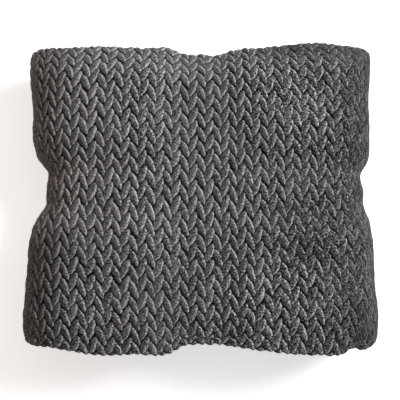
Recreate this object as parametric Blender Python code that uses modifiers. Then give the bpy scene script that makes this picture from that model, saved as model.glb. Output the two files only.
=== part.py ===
"""Plush throw blanket, folded into a soft square pack.

The throw is one cloth, so it is one solid. It is made flat with its full thickness and then
folded by two paths. The length is folded first: in thirds and then in half, so six plies make
a bundle. The bundle is then folded over and over across the width, so four levels make the
pack, with a wide roll along both sides. Last, the pack is pressed to the form that it keeps
when it is tied: a soft dome in each quarter, a cross of two troughs and a waist on each side.

Axes: X across the pack, from its left roll to its right roll; Y from the front, where the
hems and the tight folds lie, to the rounded back; Z up.
The origin is on the surface that the pack lies on, under the middle of its outline.
"""

from typing import NamedTuple

import bmesh
import bpy
import numpy as np

MM = 0.001

# ---------------------------------------------------------------- driving dimensions
CLOTH_THICKNESS = 3.0 * MM  # plush with its pile pressed
PLY_PITCH = 4.1 * MM  # from ply to ply inside the bundle
BUNDLE_PITCH = 25.0 * MM  # from level to level of the pack
RUN_X = 272.0 * MM  # straight run of the folds across the width
RUN_Y = 304.0 * MM  # straight run of the folds along the length
TAIL = 30.0 * MM  # the last run goes on under the left roll

# Breaks that every straight run shares, so that neighbouring plies have parallel facets.
# The inner ones lie where the troughs' floors and shoulders end.
BREAKS_X = np.array((-0.5 * RUN_X, -58.0 * MM, -18.0 * MM, 26.0 * MM, 66.0 * MM, 0.5 * RUN_X))
BREAKS_Y = np.array(
    (-0.5 * RUN_Y, -84.0 * MM, -34.0 * MM, -5.0 * MM, 32.0 * MM, 60.0 * MM, 118.0 * MM, 0.5 * RUN_Y)
)


class Run(NamedTuple):
    """One straight run of a fold path, and the turn after it."""

    level: float  # height of the run in pitches, from the middle of the bundle or the pack
    turn_steps: int  # facets of the turn that follows
    bulge: float  # width of that turn over its height, 1 for a round turn


# Over and over across the width, from the hem inside the pack to the hem underneath.
RUNS_X = (
    Run(level=0.5, turn_steps=4, bulge=1.0),
    Run(level=-0.5, turn_steps=6, bulge=1.3),
    Run(level=1.5, turn_steps=8, bulge=1.0),
    Run(level=-1.5, turn_steps=0, bulge=1.0),
)

# In thirds and then in half along the length: all three layers turn together at the back.
RUNS_Y = (
    Run(level=0.5, turn_steps=3, bulge=1.0),
    Run(level=-0.5, turn_steps=3, bulge=1.0),
    Run(level=-1.5, turn_steps=4, bulge=1.0),
    Run(level=1.5, turn_steps=3, bulge=1.0),
    Run(level=2.5, turn_steps=5, bulge=1.0),
    Run(level=-2.5, turn_steps=0, bulge=1.0),
)

STACK_HEIGHT = 3.0 * BUNDLE_PITCH + 5.0 * PLY_PITCH + CLOTH_THICKNESS


class Station(NamedTuple):
    """One place along an edge of the pack and how far the edge stands out there."""

    at: float  # mm along the edge, from the pack's middle
    out: float  # mm outwards from the straight fold


# The waists of a tied pack, and the bow of each quarter between them.
LEFT_EDGE = (
    Station(at=-165.0, out=-4.0),
    Station(at=-140.0, out=-3.0),
    Station(at=-100.0, out=-4.2),
    Station(at=-62.0, out=-6.2),
    Station(at=-34.0, out=-8.7),
    Station(at=-17.0, out=-13.6),
    Station(at=-4.0, out=-21.8),
    Station(at=14.0, out=-22.8),
    Station(at=32.0, out=-23.8),
    Station(at=47.0, out=-13.6),
    Station(at=63.0, out=-9.6),
    Station(at=95.0, out=-8.6),
    Station(at=130.0, out=-4.8),
    Station(at=165.0, out=-2.0),
)
RIGHT_EDGE = (
    Station(at=-165.0, out=2.0),
    Station(at=-128.0, out=3.3),
    Station(at=-85.0, out=0.5),
    Station(at=-35.0, out=-1.0),
    Station(at=-17.0, out=-3.0),
    Station(at=-4.0, out=-8.0),
    Station(at=14.0, out=-8.5),
    Station(at=30.0, out=-11.0),
    Station(at=44.0, out=-3.7),
    Station(at=70.0, out=-1.8),
    Station(at=110.0, out=-1.7),
    Station(at=145.0, out=1.7),
    Station(at=165.0, out=3.5),
)
BACK_EDGE = (
    Station(at=-182.0, out=2.0),
    Station(at=-150.0, out=-1.0),
    Station(at=-100.0, out=0.0),
    Station(at=-55.0, out=-2.0),
    Station(at=-27.0, out=-0.5),
    Station(at=-14.0, out=-5.2),
    Station(at=5.0, out=-5.8),
    Station(at=20.0, out=-7.0),
    Station(at=34.0, out=-3.0),
    Station(at=65.0, out=-1.5),
    Station(at=95.0, out=2.0),
    Station(at=120.0, out=4.3),
    Station(at=150.0, out=2.5),
    Station(at=165.0, out=3.3),
    Station(at=182.0, out=5.5),
)
FRONT_EDGE = (
    Station(at=-182.0, out=-8.0),
    Station(at=-160.0, out=-8.0),
    Station(at=-130.0, out=-3.7),
    Station(at=-100.0, out=0.3),
    Station(at=-60.0, out=-0.8),
    Station(at=-27.0, out=-1.5),
    Station(at=-12.0, out=-9.0),
    Station(at=5.0, out=-10.0),
    Station(at=22.0, out=-10.0),
    Station(at=36.0, out=-8.0),
    Station(at=65.0, out=-4.3),
    Station(at=95.0, out=-0.7),
    Station(at=120.0, out=0.0),
    Station(at=140.0, out=0.0),
    Station(at=152.0, out=-5.5),
    Station(at=163.0, out=-3.0),
    Station(at=182.0, out=-9.0),
)

# How far each height of the stack is drawn back from the front, so the levels are uneven.
STACK_RECESS = (
    Station(at=0.0, out=-7.0),
    Station(at=25.0, out=-3.0),
    Station(at=50.0, out=-8.0),
    Station(at=74.0, out=-2.0),
    Station(at=100.0, out=0.0),
)

TROUGH_X = 4.0 * MM  # middle of the trough that runs front to back
TROUGH_Y = 10.0 * MM  # middle of the trough that runs left to right
TROUGH_FLAT = 18.0 * MM  # half the flat floor of a trough
TROUGH_REACH = 58.0 * MM  # where a trough's shoulder is level again
TROUGH_MIDDLE = 3.0 * MM  # depth at the middle of the pack
TROUGH_EDGE = 9.0 * MM  # depth at its edges
DOME = 3.0 * MM  # rise of each quarter
BACK_DROOP = 20.0 * MM  # fall of the back edge
BACK_ROUNDING = 44.0 * MM  # length over which it falls, most of it inside the fold
BACK_INSIDE = 33.0 * MM
FRONT_DROOP = 4.0 * MM
FRONT_ROUNDING = 30.0 * MM
EDGE_REACH = 80.0 * MM  # an edge's shift fades out this far inside the fold

FLEECE_COLOUR = (0.127, 0.127, 0.131, 1.0)


def smoothstep(value):
    """Rise from 0 to 1 with level ends."""
    value = np.clip(value, 0.0, 1.0)
    return value * value * (3.0 - 2.0 * value)


def follow(stations, at):
    """Read a table of stations at the places `at`, by a smooth cubic; both are in metres."""
    knots = np.array([station.at for station in stations]) * MM
    values = np.array([station.out for station in stations]) * MM
    slopes = np.gradient(values, knots)
    at = np.clip(at, knots[0], knots[-1])
    cell = np.clip(np.searchsorted(knots, at) - 1, 0, len(knots) - 2)
    span = knots[cell + 1] - knots[cell]
    t = (at - knots[cell]) / span
    start = (1.0 + 2.0 * t) * (1.0 - t) ** 2 * values[cell] + t * (1.0 - t) ** 2 * span * slopes[cell]
    end = t * t * (3.0 - 2.0 * t) * values[cell + 1] + t * t * (t - 1.0) * span * slopes[cell + 1]
    return start + end


def fold_path(runs, pitch, breaks, tail=0.0):
    """Follow the runs to and fro.

    Returns the path's points and unit normals as (n, 2) arrays, along and up, and for each
    cell between two points the way that it heads, 1 or -1. A turn is half an ellipse:
    along = edge + heading * bulge * |r| * sin(angle), up = centre + r * cos(angle).
    """
    points, tangents, headings = [], [], []
    heading = 1.0
    for number, run in enumerate(runs):
        stations = breaks if heading > 0.0 else breaks[::-1]
        if number == len(runs) - 1 and tail > 0.0:
            stations = np.append(stations, stations[-1] + heading * tail)
        points.append(np.column_stack((stations, np.full(len(stations), run.level * pitch))))
        tangents.append(np.tile((heading, 0.0), (len(stations), 1)))
        headings += [heading] * (len(stations) - 1)
        if run.turn_steps:
            following = runs[number + 1].level
            radius = 0.5 * (run.level - following) * pitch
            centre = 0.5 * (run.level + following) * pitch
            angle = np.pi * np.arange(1, run.turn_steps) / run.turn_steps
            reach = heading * run.bulge * abs(radius)
            bend = (stations[-1] + reach * np.sin(angle), centre + radius * np.cos(angle))
            points.append(np.column_stack(bend))
            tangents.append(np.column_stack((reach * np.cos(angle), -radius * np.sin(angle))))
            headings += [heading] * run.turn_steps
        heading = -heading
    points = np.vstack(points)
    tangents = np.vstack(tangents)
    normals = np.column_stack((-tangents[:, 1], tangents[:, 0]))
    normals /= np.linalg.norm(normals, axis=1, keepdims=True)
    return points, normals, np.array(headings)


def trough(distance, along, half_length):
    """Return a trough's depth, and its weight: 1 on the flat floor, 0 past the soft shoulders.

    The floor falls with the square of the way along it, from the pack's middle to its edges.
    """
    across = 1.0 - smoothstep((np.abs(distance) - TROUGH_FLAT) / (TROUGH_REACH - TROUGH_FLAT))
    lengthwise = np.clip(np.abs(along) / half_length, 0.0, 1.0) ** 2
    return across * (TROUGH_MIDDLE + (TROUGH_EDGE - TROUGH_MIDDLE) * lengthwise), across


def press(points):
    """Press the folded stack into the form of a tied pack.

    Each height is scaled by one factor that depends on x and y only, so the underside stays flat
    and the plies stay in order. Each edge is then shifted as a whole, fading out inside the pack.
    """
    x, y, z = points.T
    half_x = 0.5 * RUN_X
    half_y = 0.5 * RUN_Y
    depth_x, across_x = trough(x - TROUGH_X, y, half_y)
    depth_y, across_y = trough(y - TROUGH_Y, x, half_x)
    depth = np.hypot(depth_x, depth_y)
    dome = DOME * (1.0 - across_x) * (1.0 - across_y)
    back_fall = BACK_DROOP * smoothstep((y - half_y + BACK_INSIDE) / BACK_ROUNDING) ** 1.5
    front_fall = FRONT_DROOP * smoothstep((-y - half_y + FRONT_ROUNDING) / FRONT_ROUNDING)
    scale = 1.0 + (dome - depth - back_fall - front_fall) / STACK_HEIGHT

    left = smoothstep((-x - half_x + EDGE_REACH) / EDGE_REACH)
    right = smoothstep((x - half_x + EDGE_REACH) / EDGE_REACH)
    front = smoothstep((-y - half_y + EDGE_REACH) / EDGE_REACH)
    back = smoothstep((y - half_y + EDGE_REACH) / EDGE_REACH)
    shift_x = right * follow(RIGHT_EDGE, y) - left * follow(LEFT_EDGE, y)
    shift_y = back * follow(BACK_EDGE, x) - front * (follow(FRONT_EDGE, x) + follow(STACK_RECESS, z))
    return np.column_stack((x + shift_x, y + shift_y, z * scale))


def flat_cloth(columns, rows):
    """Make a grid of one cell for each fold facet and give it its thickness with Solidify."""
    mesh = bpy.data.meshes.new("flat_cloth")
    grid = bmesh.new()
    bmesh.ops.create_grid(grid, x_segments=columns, y_segments=rows, size=0.5)
    grid.to_mesh(mesh)
    grid.free()
    flat = bpy.data.objects.new("flat_cloth", mesh)
    bpy.context.scene.collection.objects.link(flat)
    solidify = flat.modifiers.new("thickness", "SOLIDIFY")
    solidify.thickness = CLOTH_THICKNESS
    solidify.offset = 0.0
    evaluated = flat.evaluated_get(bpy.context.evaluated_depsgraph_get())
    thick = bpy.data.meshes.new_from_object(evaluated)
    bpy.data.objects.remove(flat)
    bpy.data.meshes.remove(mesh)
    return thick


def split_cells(mesh, column, row, heading_x, heading_y):
    """Cut each cell along the diagonal that has the same direction in space on every ply."""
    cloth = bmesh.new()
    cloth.from_mesh(mesh)
    cloth.verts.ensure_lookup_table()
    for face in list(cloth.faces):
        corners = [(column[vert.index], row[vert.index]) for vert in face.verts]
        if len(set(corners)) < 4:
            continue  # a facet of the cloth's edge, which has two corners on each wall
        left, low = min(corners)
        if heading_x[left] * heading_y[low] > 0.0:
            ends = ((left, low), (left + 1, low + 1))
        else:
            ends = ((left + 1, low), (left, low + 1))
        bmesh.utils.face_split(face, *(face.verts[corners.index(end)] for end in ends))
    bmesh.ops.triangulate(cloth, faces=[face for face in cloth.faces if len(face.verts) > 3])
    cloth.to_mesh(mesh)
    cloth.free()


def fold_throw():
    """Fold the flat cloth: each of its points goes to the place that the two paths give it."""
    path_x, normal_x, heading_x = fold_path(RUNS_X, BUNDLE_PITCH, BREAKS_X, TAIL)
    path_y, normal_y, heading_y = fold_path(RUNS_Y, PLY_PITCH, BREAKS_Y)
    mesh = flat_cloth(len(heading_x), len(heading_y))
    flat = np.empty(len(mesh.vertices) * 3)
    mesh.vertices.foreach_get("co", flat)
    flat = flat.reshape(-1, 3)
    column = np.rint((flat[:, 0] + 0.5) * len(heading_x)).astype(int)
    row = np.rint((flat[:, 1] + 0.5) * len(heading_y)).astype(int)
    split_cells(mesh, column.tolist(), row.tolist(), heading_x, heading_y)

    section = path_y[row] + flat[:, 2:] * normal_y[row]
    side = path_x[column] + section[:, 1:] * normal_x[column]
    folded = np.column_stack((side[:, 0], section[:, 0], side[:, 1] + 0.5 * STACK_HEIGHT))
    folded = press(folded)
    middle = 0.5 * (folded.min(axis=0) + folded.max(axis=0))
    folded -= (middle[0], middle[1], 0.0)
    mesh.vertices.foreach_set("co", folded.ravel())
    mesh.update()
    return mesh


def plush_material():
    """Charcoal plush fleece: dull, with a soft sheen at grazing angles."""
    material = bpy.data.materials.new("plush_fleece")
    material.use_nodes = True
    shader = material.node_tree.nodes["Principled BSDF"]
    shader.inputs["Base Color"].default_value = FLEECE_COLOUR
    shader.inputs["Roughness"].default_value = 0.95
    shader.inputs["Metallic"].default_value = 0.0
    shader.inputs["Sheen Weight"].default_value = 0.4
    return material


def main():
    """Clear the scene and build the throw."""
    for item in list(bpy.data.objects):
        bpy.data.objects.remove(item)
    collection = bpy.data.collections.new("folded_throw_blanket")
    bpy.context.scene.collection.children.link(collection)
    mesh = fold_throw()
    mesh.name = "throw"
    mesh.materials.append(plush_material())
    mesh.shade_smooth()
    collection.objects.link(bpy.data.objects.new("throw", mesh))


main()
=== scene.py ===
"""Folded plush throw blanket: its cloth, its raised knit relief, its plush finish and a small studio.

The throw is one cloth. Its place in space is a chain of three maps, each a class below:

* FoldPath carries a length of cloth to and fro on levels, with half-round turns between them. One path
  folds the length into a bundle of six plies; another rolls the bundle over the width into four levels.
* TiedForm presses the folded stack to the soft square that a tied pack keeps.
* KnitRelief raises the face of the cloth in columns of V stitches, two leaves to a V.

FoldedThrow joins the first two, and ReliefGauge spaces the columns and rows on the pressed face. The pieces
are built from them: the thin cloth itself, and on its face the relief, in skins that meet along the valleys.
PileWearAndShade and PileTexture say how handling has crushed and brushed the pile, where shade is painted on
it, and how uneven it is.
"""

from __future__ import annotations

import logging
import math
from dataclasses import dataclass, field
from typing import NamedTuple

import bpy
import numpy as np
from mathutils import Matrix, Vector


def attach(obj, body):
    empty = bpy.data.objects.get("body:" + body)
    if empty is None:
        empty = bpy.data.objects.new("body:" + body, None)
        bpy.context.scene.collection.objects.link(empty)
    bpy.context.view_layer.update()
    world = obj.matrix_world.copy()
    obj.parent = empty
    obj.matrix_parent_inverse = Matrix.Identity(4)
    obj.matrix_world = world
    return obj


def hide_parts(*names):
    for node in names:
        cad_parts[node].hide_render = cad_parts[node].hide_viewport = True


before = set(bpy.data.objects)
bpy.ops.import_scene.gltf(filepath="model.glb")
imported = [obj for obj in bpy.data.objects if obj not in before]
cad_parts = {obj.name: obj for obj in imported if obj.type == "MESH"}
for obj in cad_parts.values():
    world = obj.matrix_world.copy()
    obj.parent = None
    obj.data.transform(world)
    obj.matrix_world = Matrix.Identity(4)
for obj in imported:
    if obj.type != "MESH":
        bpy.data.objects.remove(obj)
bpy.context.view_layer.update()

LOG = logging.getLogger("throw")
MM = 0.001
NOISE_SIZE = 64  # cells after which a random table repeats
NODE = "throw"
BODY = "root"
MIX_A, MIX_B, MIX_RESULT = 6, 7, 2  # numbers of a Mix node's colour sockets


class Run(NamedTuple):
    """One straight run of a fold path, and the turn after it."""

    level: float  # height of the run in pitches, from the middle of the bundle or the pack
    bulge: float = 1.0  # width of the turn that follows over its height, 1 for a round turn


class Station(NamedTuple):
    """One place along an edge of the pack and how far the edge stands out there, in mm."""

    at: float
    out: float


class Patch(NamedTuple):
    """A place on the top where the pile is crushed or brushed, in mm on the pack."""

    x: float
    y: float
    reach: float
    crush: float  # share of the relief's height that is lost
    nap_and_shade: float  # brushed dark below 0 and light above it
    ruffle: float  # how far its tufts stand apart, on top of the cloth's own share


class Wear(NamedTuple):
    """What a zone of the pack adds to the state of the pile where its weight is 1, painted shade included.
    """

    crush: float = 0.0
    nap_and_shade: float = 0.0
    ruffle: float = 0.0


# The bundle is rolled over the width into four levels, and the length is folded in thirds and then in half.
RUNS_ACROSS = (Run(0.5), Run(-0.5, bulge=1.3), Run(1.5), Run(-1.5))
RUNS_ALONG = (Run(0.5), Run(-0.5), Run(-1.5), Run(1.5), Run(2.5), Run(-2.5))

# The edges of the pack, drawn in at the waists that the tie makes and rounded off at the corners.
LEFT_EDGE = (
    Station(-165.0, -13.5),
    Station(-157.0, -7.4),
    Station(-149.0, -4.0),
    Station(-140.0, -3.0),
    Station(-100.0, -4.2),
    Station(-62.0, -6.2),
    Station(-34.0, -8.7),
    Station(-17.0, -13.6),
    Station(-4.0, -21.8),
    Station(14.0, -22.8),
    Station(32.0, -23.8),
    Station(47.0, -13.6),
    Station(63.0, -9.6),
    Station(95.0, -8.6),
    Station(130.0, -4.8),
    Station(165.0, -2.0),
)
RIGHT_EDGE = (
    Station(-165.0, 2.0),
    Station(-128.0, 3.3),
    Station(-85.0, 0.5),
    Station(-35.0, -1.0),
    Station(-17.0, -3.0),
    Station(-4.0, -8.0),
    Station(14.0, -8.5),
    Station(30.0, -11.0),
    Station(44.0, -3.7),
    Station(70.0, -1.8),
    Station(110.0, -1.7),
    Station(145.0, 1.7),
    Station(165.0, 3.5),
)
BACK_EDGE = (
    Station(-182.0, 2.0),
    Station(-150.0, -1.0),
    Station(-100.0, 0.0),
    Station(-55.0, -2.0),
    Station(-27.0, -0.5),
    Station(-14.0, -5.2),
    Station(5.0, -5.8),
    Station(20.0, -7.0),
    Station(34.0, -3.0),
    Station(65.0, -1.5),
    Station(95.0, 2.0),
    Station(120.0, 4.3),
    Station(150.0, 2.5),
    Station(165.0, 3.3),
    Station(182.0, 5.5),
)
FRONT_EDGE = (
    Station(-182.0, -8.0),
    Station(-160.0, -8.0),
    Station(-130.0, -3.7),
    Station(-100.0, 0.3),
    Station(-60.0, -0.8),
    Station(-27.0, -1.5),
    Station(-12.0, -9.0),
    Station(5.0, -10.0),
    Station(22.0, -10.0),
    Station(36.0, -8.0),
    Station(65.0, -4.3),
    Station(95.0, -0.7),
    Station(120.0, 0.0),
    Station(140.0, 0.0),
    Station(152.0, -5.5),
    Station(163.0, -3.0),
    Station(182.0, -9.0),
)
# How far the plies stand back at the front, by their height over the underside.
STACK_RECESS = (
    Station(0.0, -7.0),
    Station(25.0, -3.0),
    Station(50.0, -8.0),
    Station(74.0, -2.0),
    Station(100.0, 0.0),
)

# Where hands have pressed or brushed the top, most of all on its right half.
PATCHES = (
    Patch(x=85.0, y=92.0, reach=24.0, crush=0.4, nap_and_shade=-0.05, ruffle=0.3),
    Patch(x=106.0, y=-40.0, reach=34.0, crush=0.5, nap_and_shade=-0.34, ruffle=0.45),
    Patch(x=150.0, y=45.0, reach=26.0, crush=0.45, nap_and_shade=0.0, ruffle=0.2),
    Patch(x=140.0, y=-100.0, reach=30.0, crush=0.3, nap_and_shade=0.0, ruffle=0.1),
    Patch(x=-62.0, y=64.0, reach=22.0, crush=0.1, nap_and_shade=0.0, ruffle=0.3),
)


def smoothstep(value: np.ndarray) -> np.ndarray:
    """Rise from 0 to 1 with level ends: 3 t squared minus 2 t cubed."""
    value = np.clip(value, 0.0, 1.0)
    return value * value * (3.0 - 2.0 * value)


@dataclass(frozen=True)
class Ramp:
    """A soft step along one axis, in mm: 0 up to its start, and 1 from its width further on."""

    start: float
    width: float

    def at(self, place: np.ndarray) -> np.ndarray:
        """Return the smoothstep of the way from the start, for places in metres."""
        return smoothstep((place - self.start * MM) / (self.width * MM))


def follow(stations: tuple[Station, ...], at: np.ndarray) -> np.ndarray:
    """Read a table of stations by a smooth cubic through its rows.

    Args:
        stations: Rows in millimetres, in rising order.
        at: Places to read, in metres.

    Returns:
        How far the edge stands out at each place, in metres.
    """
    knots = np.array([station.at for station in stations]) * MM
    values = np.array([station.out for station in stations]) * MM
    slopes = np.gradient(values, knots)
    at = np.clip(at, knots[0], knots[-1])
    cell = np.clip(np.searchsorted(knots, at) - 1, 0, len(knots) - 2)
    span = knots[cell + 1] - knots[cell]
    t = (at - knots[cell]) / span
    start = (1.0 + 2.0 * t) * (1.0 - t) ** 2 * values[cell] + t * (1.0 - t) ** 2 * span * slopes[cell]
    end = t * t * (3.0 - 2.0 * t) * values[cell + 1] + t * t * (t - 1.0) * span * slopes[cell + 1]
    return start + end


def lattice_noise(x: np.ndarray, y: np.ndarray, seed: int) -> np.ndarray:
    """Smooth random heights between -1 and 1, one free value at each whole (x, y).

    A number that a caller adds to a coordinate only picks another part of the table.

    Args:
        x: First coordinate, in cells of the lattice.
        y: Second coordinate, in cells of the lattice.
        seed: Picks the random table.

    Returns:
        The four nearest table values, blended by the smoothstep of the place between them.
    """
    table = np.random.default_rng(seed).uniform(-1.0, 1.0, (NOISE_SIZE, NOISE_SIZE))
    column = np.floor(x).astype(int)
    row = np.floor(y).astype(int)
    s = smoothstep(x - column)
    t = smoothstep(y - row)
    left, right = column % NOISE_SIZE, (column + 1) % NOISE_SIZE
    near, far = row % NOISE_SIZE, (row + 1) % NOISE_SIZE
    low = table[left, near] * (1 - s) + table[right, near] * s
    high = table[left, far] * (1 - s) + table[right, far] * s
    return low * (1 - t) + high * t


@dataclass
class FoldPath:
    """A length of cloth laid to and fro on levels.

    A run is straight. A turn is half an ellipse: along = edge + bulge * |r| * sin(angle) on the side that
    the run heads for, and up = centre + r * cos(angle), where r is half the step between the two levels.

    Attributes:
        runs: The levels in the order in which the cloth visits them.
        pitch: Height of one level.
        half_run: Half the length of a straight run.
        wall: Distance from the path to the wall along which lengths are counted.
        tail: How far the last run goes on past its edge.
        step: Spacing of the table's samples.
        starts: Length of the wall at which each run starts.
        ends: Length at which it ends.
        table: Rows of length, along, up, normal along and normal up.
    """

    runs: tuple[Run, ...]
    pitch: float
    half_run: float
    wall: float
    tail: float = 0.0
    step: float = 0.25 * MM
    starts: list[float] = field(init=False, default_factory=list)
    ends: list[float] = field(init=False, default_factory=list)
    table: np.ndarray = field(init=False)

    def __post_init__(self) -> None:
        """Sample the path once: point, unit normal and length so far, with the ends of each run."""
        points, tangents, first, last = [], [], [], []
        heading, count = 1.0, 0
        for number, run in enumerate(self.runs):
            reach = 2.0 * self.half_run + (self.tail if number == len(self.runs) - 1 else 0.0)
            distance = np.linspace(0.0, reach, math.ceil(reach / self.step) + 1)
            along = heading * (distance - self.half_run)
            points.append(np.column_stack((along, np.full_like(along, run.level * self.pitch))))
            tangents.append(np.tile((heading, 0.0), (len(along), 1)))
            first.append(count)
            count += len(along)
            last.append(count - 1)
            if number < len(self.runs) - 1:
                bend, slope = self._turn(run, self.runs[number + 1], heading)
                points.append(bend)
                tangents.append(slope)
                count += len(bend)
            heading = -heading
        points = np.vstack(points)
        tangents = np.vstack(tangents)
        normals = np.column_stack((-tangents[:, 1], tangents[:, 0]))
        normals /= np.linalg.norm(normals, axis=1, keepdims=True)
        walls = points + self.wall * normals
        lengths = np.concatenate(([0.0], np.cumsum(np.linalg.norm(np.diff(walls, axis=0), axis=1))))
        self.table = np.column_stack((lengths, points, normals))
        self.starts = [float(lengths[index]) for index in first]
        self.ends = [float(lengths[index]) for index in last]

    def _turn(self, run: Run, following: Run, heading: float) -> tuple[np.ndarray, np.ndarray]:
        """Sample the turn between two runs, without its ends.

        Args:
            run: The run before the turn.
            following: The run after it.
            heading: Which way the first run goes, 1 or -1.

        Returns:
            The turn's points and its tangents, each an array of (count, 2).
        """
        radius = 0.5 * (run.level - following.level) * self.pitch
        centre = 0.5 * (run.level + following.level) * self.pitch
        reach = heading * run.bulge * abs(radius)
        count = math.ceil(math.pi * (abs(radius) + self.wall) / self.step)
        angle = math.pi * np.arange(1, count) / count
        out = heading * self.half_run + reach * np.sin(angle)
        up = centre + radius * np.cos(angle)
        return np.column_stack((out, up)), np.column_stack((reach * np.cos(angle), -radius * np.sin(angle)))

    @property
    def length(self) -> float:
        """Whole length of the wall."""
        return float(self.table[-1, 0])

    def at(self, length: np.ndarray) -> tuple[np.ndarray, np.ndarray, np.ndarray, np.ndarray]:
        """Return (along, up, normal along, normal up) at these lengths of the wall."""
        return tuple(np.interp(length, self.table[:, 0], self.table[:, item]) for item in (1, 2, 3, 4))


@dataclass(frozen=True)
class TiedForm:
    """The soft square that the pack keeps when it is tied both ways.

    Each height is scaled by one factor of x and y, so the underside stays flat and the plies stay in order.
    Each edge is shifted as a whole by its table, and the shift fades out inside the pack.

    Attributes:
        half_x: Half the straight run across the pack.
        half_y: Half the straight run from front to back.
        height: Height of the folded stack before it is pressed.
        trough_x: Middle line of the trough that runs from front to back.
        trough_y: Middle line of the trough that runs across.
        trough_flat: Half the width of a trough's flat floor.
        trough_reach: Half its width with its shoulders.
        trough_middle: Its depth in the middle of the pack.
        trough_edge: Its depth at the pack's edges.
        dome: How far the four pads between the troughs rise.
        back_droop: How far the top falls at the back.
        back_rounding: Length over which it falls.
        back_inside: How much of that length lies inside the straight run.
        front_droop: How far the top falls at the front.
        front_rounding: Length over which it falls there.
        edge_reach: How far inside the pack an edge's shift fades out.
    """

    half_x: float
    half_y: float
    height: float
    trough_x: float = 4.0 * MM
    trough_y: float = 10.0 * MM
    trough_flat: float = 18.0 * MM
    trough_reach: float = 58.0 * MM
    trough_middle: float = 3.0 * MM
    trough_edge: float = 9.0 * MM
    dome: float = 3.0 * MM
    back_droop: float = 20.0 * MM
    back_rounding: float = 44.0 * MM
    back_inside: float = 33.0 * MM
    front_droop: float = 4.0 * MM
    front_rounding: float = 30.0 * MM
    edge_reach: float = 80.0 * MM

    def trough(self, distance: np.ndarray, along: np.ndarray,
               half_length: float) -> tuple[np.ndarray, np.ndarray]:
        """Return a trough's depth and its weight, 1 on the flat floor and 0 past the soft shoulders.

        Args:
            distance: Distance from the trough's middle line.
            along: Place along the trough, from the middle of the pack.
            half_length: Where the trough has its full depth.

        Returns:
            Depth in metres, rising with the square of the way along, and the weight across.
        """
        shoulder = self.trough_reach - self.trough_flat
        across = 1.0 - smoothstep((np.abs(distance) - self.trough_flat) / shoulder)
        lengthwise = np.clip(np.abs(along) / half_length, 0.0, 1.0) ** 2
        return across * (self.trough_middle + (self.trough_edge - self.trough_middle) * lengthwise), across

    def press(self, x: np.ndarray, y: np.ndarray,
              z: np.ndarray) -> tuple[np.ndarray, np.ndarray, np.ndarray]:
        """Move points of the folded stack to their places in the tied pack.

        Args:
            x: Across the stack.
            y: From front to back.
            z: Height over the underside.

        Returns:
            The pressed x, y and z.
        """
        depth_x, across_x = self.trough(x - self.trough_x, y, self.half_y)
        depth_y, across_y = self.trough(y - self.trough_y, x, self.half_x)
        depth = np.hypot(depth_x, depth_y)
        dome = self.dome * (1.0 - across_x) * (1.0 - across_y)
        past_back = (y - self.half_y + self.back_inside) / self.back_rounding
        past_front = (-y - self.half_y + self.front_rounding) / self.front_rounding
        back_fall = self.back_droop * smoothstep(past_back) ** 1.5
        front_fall = self.front_droop * smoothstep(past_front)
        scale = 1.0 + (dome - depth - back_fall - front_fall) / self.height
        left, right, front, back = (
            smoothstep((value - half + self.edge_reach) / self.edge_reach)
            for value, half in ((-x, self.half_x), (x, self.half_x), (-y, self.half_y), (y, self.half_y))
        )
        shift_x = right * follow(RIGHT_EDGE, y) - left * follow(LEFT_EDGE, y)
        shift_y = back * follow(BACK_EDGE, x) - front * (follow(FRONT_EDGE, x) + follow(STACK_RECESS, z))
        return x + shift_x, y + shift_y, z * scale


@dataclass(frozen=True)
class Leaf:
    """The shape of the leaves in one arm of a V.

    Attributes:
        side: Which way its head leans from its foot, -1 to the left and 1 to the right.
        half_width: Half its width, across the cloth.
        half_reach: Half its length, along the cloth.
        lean: How far the head stands to the side of the middle.
        lift: How far the leaves of this arm lie up the column, in rows.
    """

    side: float
    half_width: float
    half_reach: float
    lean: float
    lift: float


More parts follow.
